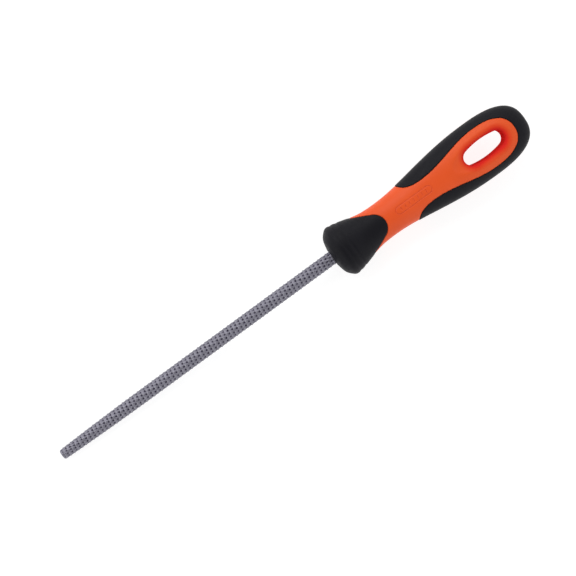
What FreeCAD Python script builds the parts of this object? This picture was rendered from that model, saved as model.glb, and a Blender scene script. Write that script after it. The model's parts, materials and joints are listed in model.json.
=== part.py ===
"""Round wood rasp with a two-material handle.

A round steel rasp, parallel for most of its length and drawn in to a blunt tip, is driven by its square tang
into a hard plastic handle core.  Two soft grips are moulded over the core: one wraps the collar at the front and
runs back as a tongue on both faces, the other wraps the sides and the back of the palm.  The palm has a hole to
hang by.

Frame, in millimetres: the origin is the middle of the hanging hole on the rasp's axis, +X points to the tip,
+Z points up through the hole, and +Y is across the handle.
"""

import FreeCAD, Part
import math
import os

Vector = FreeCAD.Vector

# ---- rasp ----
blade_length = 198.6  # from the handle's nose to the tip
blade_diameter = 8.1  # body under the teeth
tip_diameter = 6.0
tip_taper_length = 65.0
tip_edge_radius = 0.5
tooth_height = 0.45  # over the body
tooth_length = 2.1
tooth_width = 1.6
tooth_root_depth = 0.3  # how far a tooth's foot is sunk into the body
tooth_pitch = 2.77  # from one turn of the helix to the next
teeth_per_turn = 11.5  # the half tooth staggers neighbouring turns
tip_margin = 0.9  # plain steel between the tip's face and the first tooth
heel_depth = 11.0  # round body inside the handle, behind its nose
tang_length = 58.0
tang_root_width = 5.0
tang_end_width = 2.6
tang_corner = 0.5

# ---- handle ----
hole_to_nose = 111.0
hole_to_end = 30.6
nose_dome_radius = 34.0
nose_dome_share = 0.73  # how far out over the collar the dome reaches, before the bevel
nose_depth = 7.7  # from the nose back to the collar's widest section
hole_to_waist = 69.0  # to the near end of the waist's even stretch
waist_length = 7.0
hole_to_palm = 3.0
collar_width = 33.3
waist_width = 23.0
palm_width = 36.6
collar_height = 28.8
waist_height = 20.6
palm_height = 23.6
swell_lead = 0.82  # under 1, the waist falls away from the collar, and swells to the palm, sooner
end_power = 2.7  # squareness of the rounded end seen from above
section_fullness = 0.61  # 0.552 would be an ellipse

# ---- soft grips ----
grip_thickness = 2.4
grip_proud = 0.2  # grips stand this far over the core
mouth_clearance = 0.15
tongue_to_hole = 72.8
tongue_nose_radius = 8.2
tongue_flank_angle = 25.7
lobe_to_hole = 55.6  # where the rear grip's lobes begin on the sides
lobe_side = 12.4
neck_to_hole = 42.0
neck_width = 14.2  # core showing between the lobes
ring_width = 26.6  # core showing around the hole
ring_to_end = 21.4
ring_power = 2.4
rib_first = 9.8  # from the nose to the first groove across the collar
rib_step = 4.0
rib_count = 2
rib_width = 2.0
rib_depth = 0.15

# ---- hanging hole ----
hole_length = 28.6
hole_width = 11.8
hole_end_radius = 4.8
hole_rim_radius = 3.0
bowl_length = 42.5  # of the soft bowl around the hole, on the face
bowl_width = 19.4
bowl_to_hole = 2.6  # the bowl sits this far ahead of the hole's middle
bowl_depth = 2.5
bowl_crest_radius = 3.0

# ---- name panel, left blank but for plain bars ----
panel_to_hole = 52.1
panel_length = 25.5
panel_width = 4.6
panel_line = 0.4
panel_depth = 0.25
panel_bars = 7
panel_bar_length = 1.7
panel_bar_width = 0.5

# ---- fits ----
tang_clearance = 0.03
tang_end_gap = 2.0

nose_x = hole_to_nose
end_x = -hole_to_end
collar_x = nose_x - nose_depth
tip_x = nose_x + blade_length
shoulder_x = nose_x - heel_depth
mouth_radius = blade_diameter / 2 + tooth_height + mouth_clearance
beyond = palm_width  # reaches past every side of the handle


def eased(share, lead):
    """Rises from 0 to 1 with flat ends; a lead under 1 makes it rise sooner."""
    return (1 - math.cos(math.pi * share**lead)) / 2


def superellipse(angle, power):
    """Point of a unit quarter superellipse, as (along, across)."""
    return math.cos(angle) ** (2 / power), math.sin(angle) ** (2 / power)


# ---- handle envelope ----


def handle_stations(inset):
    """(x, half width, half height) from the nose to the end, every surface moved in by inset."""

    def halves(width, height):
        return width / 2 - inset, height / 2 - inset

    collar, waist, palm = (
        halves(collar_width, collar_height),
        halves(waist_width, waist_height),
        halves(palm_width, palm_height),
    )

    def between(a, b, share):
        return tuple(p + (q - p) * share for p, q in zip(a, b))

    rows = []
    for share in (0.25, 0.5, nose_dome_share):
        across = share * collar[0]
        depth = nose_dome_radius - math.sqrt(nose_dome_radius**2 - across**2)
        rows.append((nose_x - inset - depth, *between((0, 0), collar, share)))
    bevel = nose_depth - inset - depth
    for share in (0.45, 0.78):
        out = nose_dome_share + (1 - nose_dome_share) * math.sin(math.pi / 2 * share)
        rows.append((nose_x - inset - depth - bevel * share, *between((0, 0), collar, out)))
    waist_x = hole_to_waist + waist_length  # far end of the even stretch
    for share in (0, 0.07, 0.2, 0.4, 0.6, 0.8, 1):
        x = collar_x + (waist_x - collar_x) * share
        rows.append((x, *between(collar, waist, eased(share, swell_lead))))
    for share in (0, 0.15, 0.32, 0.5, 0.68, 0.84):
        x = hole_to_waist + (hole_to_palm - hole_to_waist) * share
        rows.append((x, *between(waist, palm, eased(share, swell_lead))))
    for degrees in (90, 70, 52, 36, 22, 10):
        along, across = superellipse(math.radians(degrees), end_power)
        reach = hole_to_palm - end_x - inset
        rows.append((hole_to_palm - reach * along, *between((0, 0), palm, across)))
    return rows


def envelope(inset):
    """Closed handle shape: a profile curve spread over a rounded section, in an upper and a lower half."""
    rows = handle_stations(inset)
    points = [Vector(nose_x - inset, 0, 0)] + [Vector(*row) for row in rows] + [Vector(end_x + inset, 0, 0)]
    # carried on past the axis at both ends, so that the profile crosses it squarely
    before = [Vector(p.x, -p.y, -p.z) for p in points[4:0:-1]]
    after = [Vector(p.x, -p.y, -p.z) for p in points[-2:-6:-1]]
    profile = Part.BSplineCurve()
    profile.interpolate(before + points + after)
    knots = profile.getKnots()
    profile.segment(knots[len(before)], knots[-1 - len(after)])
    k = section_fullness
    section = [(1, 0), (1, k), (k, 1), (0, 1), (-k, 1), (-1, k), (-1, 0)]
    faces = []
    for side in (1, -1):
        poles = [[Vector(p.x, p.y * y, side * p.z * z) for y, z in section] for p in profile.getPoles()]
        surface = Part.BSplineSurface()
        surface.buildFromPolesMultsKnots(
            poles,
            profile.getMultiplicities(),
            [4, 3, 4],
            profile.getKnots(),
            [0, 1, 2],
            False,
            False,
            3,
            3,
        )
        faces.append(surface.toShape())
    solid = Part.Solid(Part.makeShell(faces))
    if solid.Volume < 0:
        solid.reverse()
    return solid


def prism(edges):
    """Upright solid through the whole handle, over an outline in the XY plane."""
    face = Part.Face(Part.Wire(Part.__sortEdges__(edges)))
    face.translate(Vector(0, 0, -beyond))
    return face.extrude(Vector(0, 0, 2 * beyond))


def polyline(points):
    return Part.makePolygon([Vector(x, y, 0) for x, y in points]).Edges


def arc(a, b, c):
    """Edge in the XY plane from a to c through b."""
    return Part.Arc(Vector(*a), Vector(*b), Vector(*c)).toShape()


def mirrored(x_y):
    return x_y[0], -x_y[1]


def tongue_region():
    """Everything ahead of the front grip's edge: two straight flanks joined by a round nose."""
    flank = math.radians(tongue_flank_angle)
    centre_x = tongue_to_hole + tongue_nose_radius
    touch = (
        centre_x - tongue_nose_radius * math.sin(flank),
        tongue_nose_radius * math.cos(flank),
    )
    reach = beyond / math.sin(flank)
    far = (touch[0] + reach * math.cos(flank), touch[1] + reach * math.sin(flank))
    nose = arc(touch, (tongue_to_hole, 0), mirrored(touch))
    corner = (far[0] + nose_x, far[1])
    sides = polyline([touch, far, corner, mirrored(corner), mirrored(far), mirrored(touch)])
    return prism([nose] + sides)


def panel_region():
    """The core's face: everything ahead of the lobes, the neck between them and the ring round the hole."""
    neck = neck_width / 2
    ring = ring_width / 2
    half = [(lobe_to_hole, lobe_side)]
    half.append((lobe_to_hole - 2.6, neck + (lobe_side - neck) * 0.46))
    half.append((lobe_to_hole - 6.6, neck + (lobe_side - neck) * 0.14))
    for share in (0, 0.2, 0.4, 0.6, 0.8):
        half.append((neck_to_hole * (1 - share), neck + (ring - neck) * eased(share, 1)))
    for degrees in (90, 62, 40, 20):
        along, across = superellipse(math.radians(degrees), ring_power)
        half.append((-ring_to_end * along, ring * across))
    points = half + [(-ring_to_end, 0)] + [mirrored(p) for p in reversed(half)]
    curve = Part.BSplineCurve()
    curve.interpolate([Vector(x, y, 0) for x, y in points])
    start = half[0]
    outer = (lobe_to_hole, beyond)
    corner = (nose_x + beyond, beyond)
    rim = polyline([start, outer, corner, mirrored(corner), mirrored(outer), mirrored(start)])
    return prism([curve.toShape()] + rim)


# ---- hanging hole ----


def hole_outline(grow):
    """Four-arc oval: two tight ends joined by two long shallow sides."""
    half_length = hole_length / 2 + grow
    half_width = hole_width / 2 + grow
    end = hole_end_radius + grow
    side = ((half_length - end) ** 2 + half_width**2 - end**2) / (2 * (half_width - end))
    end_centre = half_length - end
    lean = math.atan2(end_centre, side - half_width)
    touch = (end_centre + end * math.sin(lean), end * math.cos(lean))

    def turned(p):
        return -p[0], -p[1]

    return [
        arc(turned(mirrored(touch)), (0, half_width), touch),
        arc(touch, (half_length, 0), mirrored(touch)),
        arc(mirrored(touch), (0, -half_width), turned(touch)),
        arc(turned(touch), (-half_length, 0), turned(mirrored(touch))),
    ]


def bowl(side):
    """Soft hollow around the hole, as an ellipsoid dipping into the upper (1) or the lower (-1) face."""
    rise = 0.5  # share of its depth that the ellipsoid's middle stands over the face
    spread = math.sqrt(1 - (rise / (1 + rise)) ** 2)
    depth = bowl_depth * (1 + rise)
    face = palm_height / 2 - grip_proud
    stretch = FreeCAD.Matrix()
    stretch.scale(bowl_length / 2 / spread, bowl_width / 2 / spread, depth)
    ball = Part.makeSphere(1).transformGeometry(stretch)
    ball.translate(Vector(bowl_to_hole, 0, side * (face + bowl_depth * rise)))
    return ball


def ring_edges(shape, length, width):
    """Edges of a ring about the hole that lie off the middle plane and within the given size."""
    found = []
    for edge in shape.Edges:
        box = edge.BoundBox
        off_plane = box.ZMin > 3 or box.ZMax < -3
        ahead = max(abs(box.XMin - bowl_to_hole), abs(box.XMax - bowl_to_hole)) < length / 2
        aside = max(abs(box.YMin), abs(box.YMax)) < width / 2
        if off_plane and ahead and aside:
            found.append(edge)
    return found


def cut_hole(core):
    """Cuts the hanging hole with a soft bowl about it on both faces, and rounds every rim."""
    core = core.cut(bowl(1)).cut(bowl(-1))
    core = core.makeFillet(bowl_crest_radius, ring_edges(core, bowl_length + 8, bowl_width + 5))
    core = core.cut(prism(hole_outline(0)))
    rim = ring_edges(core, hole_length + 2 * bowl_to_hole + 0.2, hole_width + 0.2)
    return core.makeFillet(hole_rim_radius, rim)


# ---- rasp ----


def blade_radius(x):
    """Radius of the body under the teeth: parallel, then drawn in along one arc."""
    full = blade_diameter / 2
    into = max(0.0, x - (tip_x - tip_taper_length)) / tip_taper_length
    return full - (full - tip_diameter / 2) * into**2


def tang_solid(grow, extra):
    """Square tang tapering back from the shoulder, with its corners taken off."""

    def section(x, width):
        half = width / 2 + grow
        cut = half - tang_corner
        corners = [(half, -cut), (half, cut), (cut, half), (-cut, half)]
        corners += [(-half, cut), (-half, -cut), (-cut, -half), (cut, -half)]
        points = [Vector(x, y, z) for y, z in corners]
        return Part.makePolygon(points + points[:1])

    end = tang_end_width - (tang_root_width - tang_end_width) * extra / tang_length
    root = section(shoulder_x, tang_root_width)
    return Part.makeLoft([root, section(shoulder_x - tang_length - extra, end)], True, True)


def tooth(x, angle):
    """Pointed tooth with a steep face to the tip and a long back, its foot sunk into the body."""
    radius = blade_radius(x)
    foot = radius - tooth_root_depth
    back = blade_radius(x - tooth_length) - tooth_root_depth / 2
    points = [
        Vector(x, 0, radius + tooth_height),
        Vector(x - tooth_length, 0, back),
        Vector(x + 0.12, tooth_width / 2, foot),
        Vector(x + 0.12, -tooth_width / 2, foot),
    ]
    faces = []
    for picked in ((0, 1, 2), (0, 2, 3), (0, 3, 1), (1, 3, 2)):
        ring = [points[i] for i in picked]
        faces.append(Part.Face(Part.makePolygon(ring + ring[:1])))
    solid = Part.Solid(Part.Shell(faces))
    if solid.Volume < 0:
        solid.reverse()
    solid.rotate(Vector(0, 0, 0), Vector(1, 0, 0), math.degrees(angle))
    return solid


def rasp_teeth():
    """Teeth along one left-handed helix, from just clear of the core, inside the mouth, to the tip."""
    first = nose_x - grip_thickness + tooth_length
    last = tip_x - tip_margin
    count = int((last - first) / tooth_pitch * teeth_per_turn)
    step = 2 * math.pi / teeth_per_turn
    return [tooth(last - tooth_pitch * i / teeth_per_turn, i * step) for i in range(count)]


def make_rasp_blade():
    """One forging: the toothed round body, its plain heel and the tang."""
    full = blade_diameter / 2
    tip = tip_diameter / 2
    taper_x = tip_x - tip_taper_length
    middle_x = taper_x + tip_taper_length / 2
    drawn = Part.Arc(
        Vector(taper_x, 0, full),
        Vector(middle_x, 0, blade_radius(middle_x)),
        Vector(tip_x, 0, tip),
    ).toShape()
    ring = [
        Part.makeLine(Vector(shoulder_x, 0, 0), Vector(shoulder_x, 0, full)),
        Part.makeLine(Vector(shoulder_x, 0, full), Vector(taper_x, 0, full)),
        drawn,
        Part.makeLine(Vector(tip_x, 0, tip), Vector(tip_x, 0, 0)),
        Part.makeLine(Vector(tip_x, 0, 0), Vector(shoulder_x, 0, 0)),
    ]
    body = Part.Face(Part.Wire(ring)).revolve(Vector(0, 0, 0), Vector(1, 0, 0), 360)
    body = Part.Solid(body) if body.ShapeType != "Solid" else body
    edge = [e for e in body.Edges if e.BoundBox.XMin > tip_x - 0.01 and e.BoundBox.DiagonalLength > tip]
    body = body.makeFillet(tip_edge_radius, edge)
    body = body.multiFuse(rasp_teeth())
    return body.fuse(tang_solid(0, 0))


# ---- handle pieces ----


def blade_socket():
    """Room in the core for the rasp's round heel and its tang."""
    heel = Part.makeCylinder(
        blade_diameter / 2 + tang_clearance,
        heel_depth + beyond,
        Vector(shoulder_x, 0, 0),
        Vector(1, 0, 0),
    )
    return heel.fuse(tang_solid(tang_clearance, tang_end_gap))


def mouth():
    """Opening in the front grip that the toothed end of the rasp passes through."""
    return Part.makeCylinder(mouth_radius, beyond, Vector(shoulder_x, 0, 0), Vector(1, 0, 0))


def panel_marks():
    """Upright solids of the panel's outline and of its bars."""

    def slot(length, width):
        radius = width / 2
        front = panel_to_hole + length / 2
        back = panel_to_hole - length / 2
        right = (front - radius, radius)
        left = (back + radius, radius)
        return [
            Part.makeLine(Vector(*left), Vector(*right)),
            arc(right, (front, 0), mirrored(right)),
            Part.makeLine(Vector(*mirrored(right)), Vector(*mirrored(left))),
            arc(mirrored(left), (back, 0), left),
        ]

    outline = prism(slot(panel_length, panel_width)).cut(
        prism(slot(panel_length - 2 * panel_line, panel_width - 2 * panel_line))
    )
    step = (panel_length - panel_width) / panel_bars
    first = panel_to_hole - step * (panel_bars - 1) / 2
    bars = []
    for i in range(panel_bars):
        low = (first + i * step - panel_bar_width / 2, -panel_bar_length / 2)
        bars.append(
            Part.makeBox(
                panel_bar_width,
                panel_bar_length,
                2 * beyond,
                Vector(*low, -beyond),
            )
        )
    return outline.multiFuse(bars)


def make_handle_core(inner):
    """Hard core: full size where it shows, thinner under the grips."""
    skin = envelope(grip_proud)
    shown = skin.common(panel_region()).cut(tongue_region())
    core = inner.fuse(shown)
    core = cut_hole(core)
    marks = skin.cut(envelope(grip_proud + panel_depth)).common(panel_marks())
    return core.cut(marks).cut(blade_socket())


def make_front_grip(layer):
    grip = layer.common(tongue_region()).cut(mouth())
    shallow = envelope(0).cut(envelope(rib_depth))
    for i in range(rib_count):
        x = nose_x - rib_first - rib_step * i
        slab = Part.makeBox(rib_width, 2 * beyond, 2 * beyond, Vector(x - rib_width / 2, -beyond, -beyond))
        grip = grip.cut(shallow.common(slab))
    return grip


def make_rear_grip(layer):
    return layer.cut(panel_region())


def whole(shape):
    """The shape's one solid."""
    solids = shape.Solids
    if len(solids) != 1 or not solids[0].isValid():
        raise ValueError(f"expected one valid solid, got {len(solids)}")
    return solids[0]


def main():
    os.makedirs("parts", exist_ok=True)
    inner = envelope(grip_thickness)
    layer = envelope(0).cut(inner)
    nodes = {
        "rasp_blade": make_rasp_blade(),
        "handle_core": make_handle_core(inner),
        "front_grip": make_front_grip(layer),
        "rear_grip": make_rear_grip(layer),
    }
    for name, shape in nodes.items():
        solid = whole(shape)
        solid.exportStep(f"parts/{name}.step")
        print(name, round(solid.Volume), "mm3", len(solid.Faces), "faces")


main()
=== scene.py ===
import json
import math
import random

import bpy
from mathutils import Matrix, Quaternion, Vector

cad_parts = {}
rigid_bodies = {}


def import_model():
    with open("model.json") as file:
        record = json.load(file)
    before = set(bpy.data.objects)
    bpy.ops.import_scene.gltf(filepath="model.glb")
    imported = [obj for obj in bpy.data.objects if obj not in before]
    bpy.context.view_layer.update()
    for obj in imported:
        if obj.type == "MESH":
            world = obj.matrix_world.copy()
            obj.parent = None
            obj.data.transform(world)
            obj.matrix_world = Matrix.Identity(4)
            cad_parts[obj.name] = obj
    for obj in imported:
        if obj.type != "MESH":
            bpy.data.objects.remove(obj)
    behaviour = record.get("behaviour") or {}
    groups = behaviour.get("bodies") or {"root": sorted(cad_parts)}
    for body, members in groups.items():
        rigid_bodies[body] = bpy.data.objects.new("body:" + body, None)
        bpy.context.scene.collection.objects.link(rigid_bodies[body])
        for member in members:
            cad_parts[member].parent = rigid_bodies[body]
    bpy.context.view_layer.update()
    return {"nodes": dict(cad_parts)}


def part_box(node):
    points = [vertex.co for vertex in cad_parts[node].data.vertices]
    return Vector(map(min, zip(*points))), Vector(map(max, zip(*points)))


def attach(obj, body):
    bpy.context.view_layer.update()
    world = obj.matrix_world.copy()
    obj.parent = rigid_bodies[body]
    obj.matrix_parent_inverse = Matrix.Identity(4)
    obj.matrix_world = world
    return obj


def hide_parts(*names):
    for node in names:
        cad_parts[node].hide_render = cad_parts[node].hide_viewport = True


# Round wood rasp: a toothed steel blade in a soft-gripped orange handle.
# Lengths are in metres. +X runs to the tip, +Z up through the hanging hole.

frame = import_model()
random.seed(7)

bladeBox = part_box("rasp_blade")
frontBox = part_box("front_grip")
noseX = frontBox[1].x
tipX = bladeBox[1].x
mm = 0.001


def deselectAll():
    if bpy.context.object and bpy.context.object.mode != "OBJECT":
        bpy.ops.object.mode_set(mode="OBJECT")
    bpy.ops.object.select_all(action="DESELECT")


def pickOnly(piece):
    deselectAll()
    piece.select_set(True)
    bpy.context.view_layer.objects.active = piece


def applyModifier(piece, kind, **settings):
    pickOnly(piece)
    modifier = piece.modifiers.new(kind.lower(), kind)
    for name, value in settings.items():
        setattr(modifier, name, value)
    bpy.ops.object.modifier_apply(modifier=modifier.name)


def startEditing(piece, mode="VERT"):
    pickOnly(piece)
    bpy.ops.object.mode_set(mode="EDIT")
    bpy.ops.mesh.select_mode(type=mode)
    bpy.ops.mesh.select_all(action="SELECT")


def finishEditing():
    bpy.ops.object.mode_set(mode="OBJECT")


def selectWhere(piece, test, kind="vertices"):
    # tests each vertex or face in object mode, then goes back to editing
    bpy.ops.mesh.select_all(action="DESELECT")
    bpy.ops.object.mode_set(mode="OBJECT")
    for part in getattr(piece.data, kind):
        part.select = test(part)
    bpy.ops.object.mode_set(mode="EDIT")


def settle(piece, node, material):
    piece.data.materials.clear()
    piece.data.materials.append(material)
    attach(piece, "root")
    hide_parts(node)


class Nodes:
    # a short way to add shader nodes and join them

    def __init__(self, name):
        self.material = bpy.data.materials.new(name)
        self.material.use_nodes = True
        self.tree = self.material.node_tree
        self.shader = self.tree.nodes["Principled BSDF"]

    def add(self, kind, inputs=None, **settings):
        node = self.tree.nodes.new(kind)
        for name, value in settings.items():
            setattr(node, name, value)
        for name, value in (inputs or {}).items():
            if isinstance(value, bpy.types.NodeSocket):
                self.tree.links.new(value, node.inputs[name])
            else:
                node.inputs[name].default_value = value
        return node

    def place(self):
        return self.add("ShaderNodeTexCoord").outputs["Object"]

    def noise(self, scale, detail, roughness=0.5):
        inputs = {"Vector": self.place(), "Scale": scale, "Detail": detail, "Roughness": roughness}
        return self.add("ShaderNodeTexNoise", inputs).outputs["Fac"]

    def span(self, value, low, high, toLow=0.0, toHigh=1.0):
        inputs = {"Value": value, "From Min": low, "From Max": high, "To Min": toLow, "To Max": toHigh}
        return self.add("ShaderNodeMapRange", inputs).outputs["Result"]

    def maths(self, operation, first, second=0.0):
        # one step of arithmetic; either value may be a socket or a number
        node = self.tree.nodes.new("ShaderNodeMath")
        node.operation = operation
        for socket, value in zip(node.inputs, (first, second)):
            if isinstance(value, bpy.types.NodeSocket):
                self.tree.links.new(value, socket)
            else:
                socket.default_value = value
        return node.outputs["Value"]

    def mix(self, factor, colourA, colourB):
        node = self.add("ShaderNodeMix", data_type="RGBA")
        for socket, value in zip((0, 6, 7), (factor, colourA, colourB)):
            if isinstance(value, bpy.types.NodeSocket):
                self.tree.links.new(value, node.inputs[socket])
            else:
                node.inputs[socket].default_value = value
        return node.outputs[2]

    def bump(self, height, distance):
        inputs = {"Height": height, "Distance": distance, "Strength": 1.0}
        return self.add("ShaderNodeBump", inputs).outputs["Normal"]

    def give(self, **links):
        for name, value in links.items():
            socket = self.shader.inputs[name.replace("_", " ")]
            if isinstance(value, bpy.types.NodeSocket):
                self.tree.links.new(value, socket)
            else:
                socket.default_value = value
        return self.material


blade = {
    "bodyRadius": 4.06 * mm,
    "tipRadius": 3.08 * mm,
    "taperLength": 65.0 * mm,
    "toothHeight": 0.44 * mm,
    "pitDepth": 0.6 * mm,
    "turnPitch": 2.77 * mm,
    "teethPerTurn": 11.5,
    "columns": 8,  # even, so that neighbouring turns meet half a tooth apart
    "rows": (-0.5, -0.32, -0.16, -0.05, 0.08, 0.2, 0.34, 0.5),
    "spurAt": -0.16,  # in shares of a tooth's own square, from its middle
    "pitAt": 0.14,
    "pitAcross": 0.39,
    "pitAlong": 0.3,
    "spurCurve": 1.3,  # above 1 the spur's back is hollow
    "shortest": 0.8,  # teeth differ in height, as shares of toothHeight
    "tallest": 1.12,
    "plainTip": 1.2 * mm,  # no teeth this close to the end
    "tipChamfer": 0.45 * mm,
    "tipShrink": 0.84,
    "sharpAngle": 38,  # degrees; steeper edges stay sharp
    "heelFront": 2.6 * mm,  # behind the nose
    "heelBack": 11.0 * mm,
    "tangRoot": 2.5 * mm,
    "tangInHeel": 1.0 * mm,
    "tangEnd": 1.3 * mm,
    "tangBevel": 0.5 * mm,
}


def toothHeightAt(across, along):
    # one tooth's own square, from -0.5 to 0.5 each way: a low back, a spur and a round pit before it
    pit = 1 - (across / blade["pitAcross"]) ** 2 - ((along - blade["pitAt"]) / blade["pitAlong"]) ** 2
    if pit > 0:
        return -blade["pitDepth"] * pit
    if along > blade["spurAt"]:
        return 0.0
    climb = (0.5 + along) / (0.5 + blade["spurAt"])
    return blade["toothHeight"] * (1 - (across / 0.5) ** 2) * climb ** blade["spurCurve"]


def makeToothTile():
    columns, rowSteps = blade["columns"], len(blade["rows"]) - 1
    bpy.ops.mesh.primitive_grid_add(x_subdivisions=columns, y_subdivisions=rowSteps, size=1)
    tile = bpy.context.object
    tile.name = "raspBlade"
    rows = blade["rows"]
    for vertex in tile.data.vertices:
        row = round((vertex.co.y + 0.5) * (len(rows) - 1))
        across, along = vertex.co.x, rows[row]
        height = toothHeightAt(across, along)
        vertex.co = (across, along, height)
    return tile


def bladeRadius(x):
    into = max(0.0, x - (tipX - blade["taperLength"])) / blade["taperLength"]
    return blade["bodyRadius"] - (blade["bodyRadius"] - blade["tipRadius"]) * into**2


def wrapTeeth(strip, startX):
    # lays the flat strip of teeth along a left-handed helix about the X axis
    perTurn = blade["teethPerTurn"]
    count = int(max(v.co.x for v in strip.data.vertices)) + 2
    tallness = [random.uniform(blade["shortest"], blade["tallest"]) for _ in range(count)]
    # each vertex keeps its share of tooth height, later read to paint a highlight on the spurs and shade in
    # the pits
    depth = strip.data.attributes.new("cut", "FLOAT", "POINT")
    for i, vertex in enumerate(strip.data.vertices):
        along, row, height = vertex.co
        x = startX - blade["turnPitch"] * (along / perTurn - row)
        plain = x > tipX - blade["plainTip"]
        height *= 0 if plain else tallness[int(along + 0.5)]
        depth.data[i].value = height / blade["toothHeight"]
        radius = bladeRadius(x)
        radius += height * (0.35 + 0.65 * radius / blade["bodyRadius"])
        angle = 2 * math.pi * along / perTurn
        vertex.co = (x, -radius * math.sin(angle), radius * math.cos(angle))


def cutAcross(piece, x, keepBelow):
    startEditing(piece)
    bpy.ops.mesh.bisect(
        plane_co=(x, 0, 0),
        plane_no=(1, 0, 0),
        use_fill=True,
        clear_outer=keepBelow,
        clear_inner=not keepBelow,
        threshold=1e-6,
    )
    finishEditing()


def makeTang():
    # square bar behind the blade's heel, drawn in towards its end
    back = noseX - blade["heelBack"] + blade["tangInHeel"]
    length = back - bladeBox[0].x
    bpy.ops.mesh.primitive_cube_add(size=1, location=(back - length / 2, 0, 0))
    tang = bpy.context.object
    pickOnly(tang)
    bpy.ops.transform.resize(value=(length, 2 * blade["tangRoot"], 2 * blade["tangRoot"]))
    bpy.ops.object.transform_apply(location=True, rotation=True, scale=True)
    startEditing(tang, "FACE")
    selectWhere(tang, lambda face: face.normal.x < -0.9, "polygons")
    share = blade["tangEnd"] / blade["tangRoot"]
    bpy.ops.transform.resize(value=(1, share, share))
    finishEditing()
    applyModifier(tang, "BEVEL", width=blade["tangBevel"], segments=2, limit_method="ANGLE")
    return tang


def makeBlade(material):
    tile = makeToothTile()
    length = tipX - noseX + blade["heelFront"] + 3 * blade["turnPitch"]
    count = int(length / blade["turnPitch"] * blade["teethPerTurn"])
    applyModifier(
        tile,
        "ARRAY",
        count=count,
        use_relative_offset=True,
        relative_offset_displace=(1, 0, 0),
        use_merge_vertices=True,
        merge_threshold=1e-4,
    )
    wrapTeeth(tile, tipX + 1.5 * blade["turnPitch"])
    startEditing(tile)
    bpy.ops.mesh.remove_doubles(threshold=2e-6)
    finishEditing()
    cutAcross(tile, tipX - blade["tipChamfer"], True)
    cutAcross(tile, noseX - blade["heelFront"], False)

    startEditing(tile, "FACE")
    selectWhere(tile, lambda face: face.normal.x > 0.99 and face.center.x > tipX - mm, "polygons")
    bpy.ops.mesh.extrude_region_move(TRANSFORM_OT_translate={"value": (blade["tipChamfer"], 0, 0)})
    bpy.ops.transform.resize(value=(1, blade["tipShrink"], blade["tipShrink"]), center_override=(tipX, 0, 0))
    selectWhere(tile, lambda face: face.normal.x < -0.99 and face.center.x < noseX - mm, "polygons")
    heel = blade["heelBack"] - blade["heelFront"]
    bpy.ops.mesh.extrude_region_move(TRANSFORM_OT_translate={"value": (-heel, 0, 0)})
    finishEditing()

    tang = makeTang()
    applyModifier(tile, "BOOLEAN", object=tang, operation="UNION", solver="EXACT")
    bpy.data.objects.remove(tang)
    pickOnly(tile)
    bpy.ops.object.shade_smooth_by_angle(angle=math.radians(blade["sharpAngle"]))
    settle(tile, "rasp_blade", material)
    print("raspBlade", len(tile.data.polygons), "faces")


handle = {
    "coreVoxel": 0.47 * mm,
    "gripVoxel": 0.42 * mm,
    "coreSoftening": 4,
    "gripSoftening": 3,
}


def softCopy(node, name, voxel, softening):
    # the node's shape remade as one even skin, with every edge slightly rounded as it leaves a mould
    piece = frame["nodes"][node].copy()
    piece.data = piece.data.copy()
    piece.name = name
    bpy.context.scene.collection.objects.link(piece)
    startEditing(piece)
    bpy.ops.mesh.remove_doubles(threshold=1e-6)
    finishEditing()
    applyModifier(piece, "REMESH", mode="VOXEL", voxel_size=voxel)
    applyModifier(piece, "SMOOTH", factor=0.5, iterations=softening)
    # the remesh leaves crumbs at thin corners, so only the skin at the rear end and all it joins is kept
    rear = min(vertex.co.x for vertex in piece.data.vertices)
    startEditing(piece)
    selectWhere(piece, lambda vertex: vertex.co.x < rear + 0.01 * mm)
    bpy.ops.mesh.select_linked()
    bpy.ops.mesh.select_all(action="INVERT")
    bpy.ops.mesh.delete(type="VERT")
    finishEditing()
    pickOnly(piece)
    bpy.ops.object.shade_smooth()
    return piece


badge = {
    "middleX": 52.1 * mm,
    "length": 25.5 * mm,
    "width": 4.6 * mm,
    "line": 0.5 * mm,
    "barRow": 19.0 * mm,
    "barStep": 3.0 * mm,
    "barWidth": 1.2 * mm,
    "barLength": 1.9 * mm,
    "depth": 0.25 * mm,
    "margin": 0.8 * mm,  # finer mesh reaches this far past the outline
    "outside": 6.0 * mm,  # the core's faces lie further from the middle plane than this, its socket nearer
}


def notch(away, halfWidth):
    # 1 along the middle of a groove, falling smoothly to 0 at its sides
    return 0.5 + 0.5 * math.cos(math.pi * min(1.0, away / halfWidth))


def badgeDepthAt(x, y):
    # a blank rounded outline round a row of plain bars
    along = abs(x - badge["middleX"])
    radius = badge["width"] / 2
    fromMiddle = math.hypot(max(0.0, along - badge["length"] / 2 + radius), y)
    line = notch(abs(fromMiddle - radius), badge["line"])
    if along > badge["barRow"] / 2 or abs(y) > badge["barLength"] / 2:
        return line
    fromBar = abs((along / badge["barStep"] + 0.5) % 1 - 0.5) * badge["barStep"]
    return max(line, notch(fromBar, badge["barWidth"] / 2))


def pressBadge(core):
    # sinks the badge into both faces of the core, through a patch of finer mesh
    reachX = badge["length"] / 2 + badge["margin"]
    reachY = badge["width"] / 2 + badge["margin"]

    def onPatch(x, y, z):
        return abs(x - badge["middleX"]) < reachX and abs(y) < reachY and abs(z) > badge["outside"]

    startEditing(core, "FACE")
    selectWhere(core, lambda face: onPatch(*face.center), "polygons")
    bpy.ops.mesh.subdivide(number_cuts=2)
    finishEditing()
    # the sunk share is also read to paint shade into the badge's grooves
    sunk = core.data.attributes.new("sunk", "FLOAT", "POINT")
    for i, vertex in enumerate(core.data.vertices):
        x, y, z = vertex.co
        if onPatch(x, y, z):
            share = badgeDepthAt(x, y)
            vertex.co.z -= math.copysign(badge["depth"] * share, z)
            sunk.data[i].value = share


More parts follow.
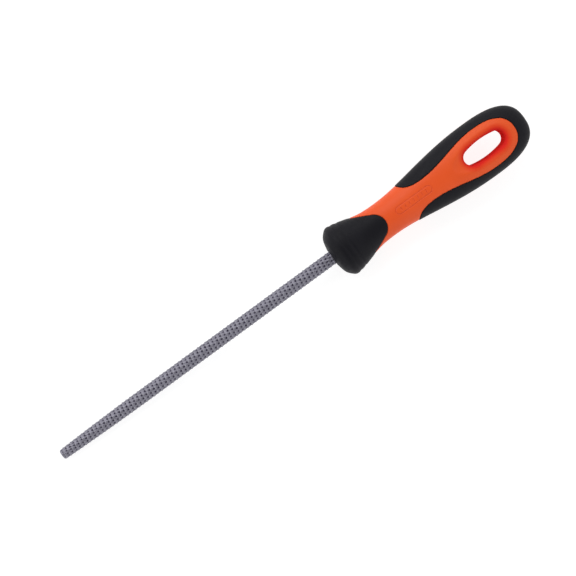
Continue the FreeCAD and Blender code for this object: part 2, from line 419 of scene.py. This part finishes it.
grooves = {
    "count": 2,
    "first": 9.8 * mm,  # from the nose
    "step": 4.0 * mm,
    "width": 2.0 * mm,
    "depth": 0.12 * mm,
}


def pressGrooves(grip):
    # two shallow grooves round the outside of the collar; normals are read before anything moves
    normals = [vertex.normal.copy() for vertex in grip.data.vertices]
    for vertex, normal in zip(grip.data.vertices, normals):
        outward = Vector((0, vertex.co.y, vertex.co.z)).normalized()
        if normal.dot(outward) < 0.3:
            continue
        for i in range(grooves["count"]):
            middle = noseX - grooves["first"] - i * grooves["step"]
            share = notch(abs(vertex.co.x - middle), grooves["width"] / 2)
            vertex.co -= outward * (grooves["depth"] * share)


def makeHandlePiece(node, name, kind, material):
    piece = softCopy(node, name, handle[kind + "Voxel"], handle[kind + "Softening"])
    settle(piece, node, material)
    print(name, len(piece.data.polygons), "faces")
    return piece


hole = {
    "halfLength": 14.3 * mm,
    "halfWidth": 5.9 * mm,
    "paintedShade": 4.4 * mm,  # how far the painted shade's deeper red spreads from the hole's edge
    "fullRed": 0.2 * mm,  # and how near the edge it is at its deepest
    "falloff": 1.3,
}

steelLook = {
    "dark": (0.19, 0.184, 0.225, 1),
    "pale": (0.25, 0.243, 0.29, 1),
    # painted highlight: lighter steel where the spurs stand up
    "spur": (0.37, 0.362, 0.41, 1),
    # painted shade: near-black steel down in the pits
    "pit": (0.038, 0.032, 0.06, 1),
    "metallic": 0.75,
    "smoothest": 0.44,
    "roughest": 0.6,
    "mottleScale": 900,
    "grainScale": 2500,
    "grainDepth": 0.02 * mm,
}


def makeSteel():
    look = steelLook
    n = Nodes("hardenedSteel")
    cut = n.add("ShaderNodeAttribute", attribute_name="cut").outputs["Fac"]
    mottle = n.noise(look["mottleScale"], 4, 0.6)
    base = n.mix(n.span(mottle, 0.3, 0.7), look["dark"], look["pale"])
    # the tooth relief paints a highlight on the spurs' crests and shade in the pits
    base = n.mix(n.span(cut, 0.2, 1.0), base, look["spur"])
    base = n.mix(n.span(cut, -0.25, -1.0), base, look["pit"])
    rough = n.span(mottle, 0.25, 0.75, look["smoothest"], look["roughest"])
    grain = n.bump(n.noise(look["grainScale"], 3), look["grainDepth"])
    return n.give(Base_Color=base, Metallic=look["metallic"], Roughness=rough, Normal=grain)


def holeShade(n):
    # 0 on the handle's face, rising to 1 at the hanging hole's wall, where a deeper red is painted as the
    # shade and orange bounce light inside the hole
    place = n.add("ShaderNodeSeparateXYZ", {"Vector": n.place()})
    straight = hole["halfLength"] - hole["halfWidth"]
    beyondEnd = n.maths("MAXIMUM", n.maths("SUBTRACT", n.maths("ABSOLUTE", place.outputs["X"]), straight), 0.0)
    across = place.outputs["Y"]
    squares = n.maths("ADD", n.maths("POWER", beyondEnd, 2.0), n.maths("MULTIPLY", across, across))
    fromWall = n.maths("SUBTRACT", n.maths("SQRT", squares), hole["halfWidth"])
    return n.maths("POWER", n.span(fromWall, hole["paintedShade"], hole["fullRed"]), hole["falloff"])


orangeLook = {
    "dark": (0.7, 0.078, 0.012, 1),
    "pale": (0.73, 0.086, 0.015, 1),
    # painted shade: darker plastic in the badge's sunk grooves
    "badge": (0.5, 0.04, 0.008, 1),
    "badgeShadeShare": 0.3,
    # painted shade: the deep red of the hole's shaded wall lit by bounce from the orange
    "holeShade": (0.64, 0.022, 0.018, 1),
    "smoothest": 0.42,
    "roughest": 0.52,
    "specular": 0.24,  # on the face; none at the hole's wall
    "cloudScale": 60,
    "mottleScale": 400,
    "grainScale": 3500,
    "grainDepth": 0.012 * mm,
}


def makeOrange():
    look = orangeLook
    n = Nodes("orangePlastic")
    sunk = n.add("ShaderNodeAttribute", attribute_name="sunk").outputs["Fac"]
    base = n.mix(n.span(n.noise(look["cloudScale"], 3), 0.3, 0.7), look["dark"], look["pale"])
    # painted shade: darker where the badge sinks deeper
    base = n.mix(n.maths("MULTIPLY", sunk, look["badgeShadeShare"]), base, look["badge"])
    # painted shade with orange bounce light: the colour deepens to red towards the hole's wall
    paintedShade = holeShade(n)
    base = n.mix(paintedShade, base, look["holeShade"])
    rough = n.span(n.noise(look["mottleScale"], 4), 0.3, 0.7, look["smoothest"], look["roughest"])
    grain = n.bump(n.noise(look["grainScale"], 3), look["grainDepth"])
    gloss = n.span(paintedShade, 0.1, 0.7, look["specular"], 0.0)
    return n.give(Base_Color=base, Roughness=rough, Specular_IOR_Level=gloss, Normal=grain)


blackLook = {
    "dark": (0.0034, 0.0033, 0.0056, 1),
    "pale": (0.005, 0.0048, 0.0078, 1),
    "smoothest": 0.5,
    "roughest": 0.62,
    "specular": 0.16,
    "cloudScale": 90,
    "mottleScale": 700,
    "grainScale": 2800,
    "grainDepth": 0.03 * mm,
}


def makeBlack():
    look = blackLook
    n = Nodes("blackSoftGrip")
    base = n.mix(n.span(n.noise(look["cloudScale"], 4), 0.3, 0.7), look["dark"], look["pale"])
    rough = n.span(n.noise(look["mottleScale"], 4), 0.3, 0.7, look["smoothest"], look["roughest"])
    grain = n.bump(n.noise(look["grainScale"], 3), look["grainDepth"])
    n.shader.inputs["Specular IOR Level"].default_value = look["specular"]
    return n.give(Base_Color=base, Roughness=rough, Normal=grain)


stage = {
    "floorSize": 4.0,
    "floorGlow": 0.78,  # a light table, so that shadows stay faint
    "floorGrey": 0.35,
    "cameraDistance": 1.0,
    "cameraLean": 5.5,  # degrees towards -Y
    "spin": 180 - 36.19,
    "lens": 105.0,
    "tentGlow": 1.1,
    "openGlow": 0.15,
    "openFrom": 0.72,  # height, on a unit sphere, where the tent begins to open
    "openTo": 0.94,
    "aimX": 142.6 * mm,
    "aimY": -0.95 * mm,
    "keyPlace": (0.1, -0.9, 0.9),
    "keyAim": (0.14, 0, 0),
    "keySize": (1.2, 0.8),
    "keyPower": 6,
}


def makeFloor():
    # the rasp lies on its collar and its tip, so the floor rises slightly towards the tip
    collarX = noseX - 8 * mm
    low = frontBox[0].z
    tipLow = -blade["tipRadius"] - 0.1 * mm
    slope = math.atan2(tipLow - low, tipX - collarX)
    bpy.ops.mesh.primitive_plane_add(size=stage["floorSize"])
    floor = bpy.context.object
    floor.name = "floor"
    turn = Matrix.Rotation(-slope, 4, "Y")
    floor.data.transform(Matrix.Translation((collarX, 0, low - 0.1 * mm)) @ turn)
    n = Nodes("paleFloor")
    grey = stage["floorGrey"]
    n.shader.inputs["Specular IOR Level"].default_value = 0.0
    n.shader.inputs["Emission Color"].default_value = (1, 1, 1, 1)
    n.shader.inputs["Emission Strength"].default_value = stage["floorGlow"]
    floor.data.materials.append(n.give(Base_Color=(grey, grey, grey, 1), Roughness=1.0))


def makeLight(name, place, aim, size, power):
    lamp = bpy.data.lights.new(name, "AREA")
    lamp.shape = "RECTANGLE"
    lamp.size, lamp.size_y = size
    lamp.energy = power
    lampObject = bpy.data.objects.new(name, lamp)
    lampObject.location = place
    lampObject.rotation_mode = "QUATERNION"
    lampObject.rotation_quaternion = (Vector(aim) - Vector(place)).to_track_quat("-Z", "Y")
    bpy.context.scene.collection.objects.link(lampObject)


def makeWorld():
    # a white light tent, bright all round and open to the dark straight overhead
    world = bpy.data.worlds.new("studio")
    world.use_nodes = True
    tree = world.node_tree
    toward = tree.nodes.new("ShaderNodeTexCoord")
    split = tree.nodes.new("ShaderNodeSeparateXYZ")
    dim = tree.nodes.new("ShaderNodeMapRange")
    dim.interpolation_type = "SMOOTHSTEP"
    dim.inputs["From Min"].default_value = stage["openFrom"]
    dim.inputs["From Max"].default_value = stage["openTo"]
    dim.inputs["To Min"].default_value = stage["tentGlow"]
    dim.inputs["To Max"].default_value = stage["openGlow"]
    tree.links.new(toward.outputs["Generated"], split.inputs["Vector"])
    tree.links.new(split.outputs["Z"], dim.inputs["Value"])
    tree.links.new(dim.outputs["Result"], tree.nodes["Background"].inputs["Strength"])
    tree.nodes["Background"].inputs["Color"].default_value = (1, 1, 1, 1)
    bpy.context.scene.world = world


def makeCamera():
    lean = math.radians(stage["cameraLean"])
    turn = Quaternion((1, 0, 0), lean) @ Quaternion((0, 0, 1), math.radians(stage["spin"]))
    data = bpy.data.cameras.new("camera")
    data.lens = stage["lens"]
    data.clip_start = 0.01
    camera = bpy.data.objects.new("camera", data)
    camera.rotation_mode = "QUATERNION"
    camera.rotation_quaternion = turn
    aim = Vector((stage["aimX"], stage["aimY"], 0))
    camera.location = aim + turn @ Vector((0, 0, stage["cameraDistance"]))
    bpy.context.scene.collection.objects.link(camera)
    bpy.context.scene.camera = camera


makeCamera()
makeWorld()
makeFloor()
makeLight("keyLight", stage["keyPlace"], stage["keyAim"], stage["keySize"], stage["keyPower"])
bpy.context.scene.view_settings.view_transform = "Standard"
print("stage set")

steel = makeSteel()
orange = makeOrange()
black = makeBlack()

deselectAll()
makeBlade(steel)
core = makeHandlePiece("handle_core", "handleCore", "core", orange)
pressBadge(core)
collarGrip = makeHandlePiece("front_grip", "frontGrip", "grip", black)
pressGrooves(collarGrip)
makeHandlePiece("rear_grip", "rearGrip", "grip", black)
